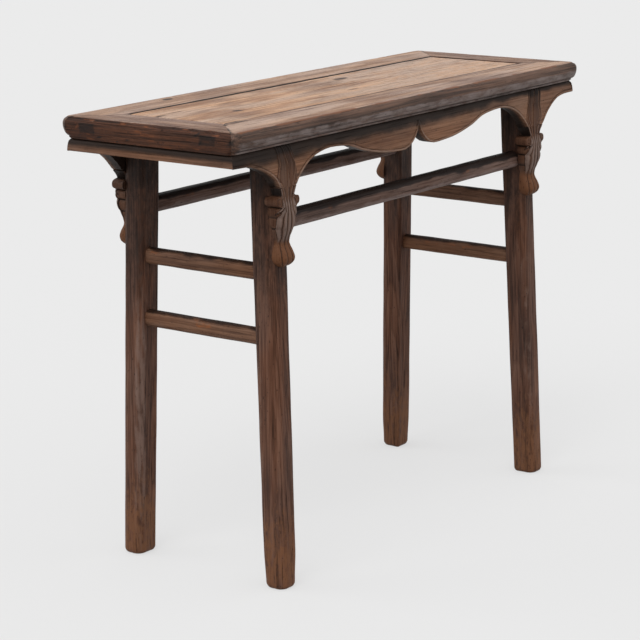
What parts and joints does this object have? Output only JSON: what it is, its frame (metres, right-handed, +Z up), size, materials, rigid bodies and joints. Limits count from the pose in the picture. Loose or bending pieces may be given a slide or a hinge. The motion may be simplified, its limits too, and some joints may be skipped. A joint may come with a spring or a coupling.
{
  "type": "altar table",
  "caption": "Recessed-leg altar table with a mitred frame-and-panel top, shaped aprons, carved spandrels, splayed legs and side stretchers.",
  "frame": {"origin": "on the floor, under the middle of the top", "axes": "+X along the table, -Y towards the front, +Z up"},
  "size_m": [1.122, 0.41, 0.85],
  "materials": {
    "top_wood": "worn elm, open grain, waxed",
    "panel_wood": "worn elm, open grain, waxed",
    "batten_wood": "planed elm, bare",
    "leg_wood": "dark stained elm, worn satin",
    "apron_wood": "dark stained elm, worn satin",
    "spandrel_wood": "carved elm, worn stain",
    "stretcher_wood": "stained elm, worn satin"
  },
  "bodies": {
    "root": {"apron_front": "apron_wood", "apron_rear": "apron_wood", "batten_centre": "batten_wood", "batten_left": "batten_wood", "batten_right": "batten_wood", "end_apron_left": "apron_wood", "end_apron_right": "apron_wood", "leg_front_left": "leg_wood", "leg_front_right": "leg_wood", "leg_rear_left": "leg_wood", "leg_rear_right": "leg_wood", "panel_board_front": "panel_wood", "panel_board_rear": "panel_wood", "side_stretcher_left_lower": "stretcher_wood", "side_stretcher_left_upper": "stretcher_wood", "side_stretcher_right_lower": "stretcher_wood", "side_stretcher_right_upper": "stretcher_wood", "spandrel_front_left": "spandrel_wood", "spandrel_front_right": "spandrel_wood", "spandrel_rear_left": "spandrel_wood", "spandrel_rear_right": "spandrel_wood", "stretcher_front": "stretcher_wood", "stretcher_rear": "stretcher_wood", "top_end_rail_left": "top_wood", "top_end_rail_right": "top_wood", "top_rail_front": "top_wood", "top_rail_rear": "top_wood"}
  },
  "joints": []
}
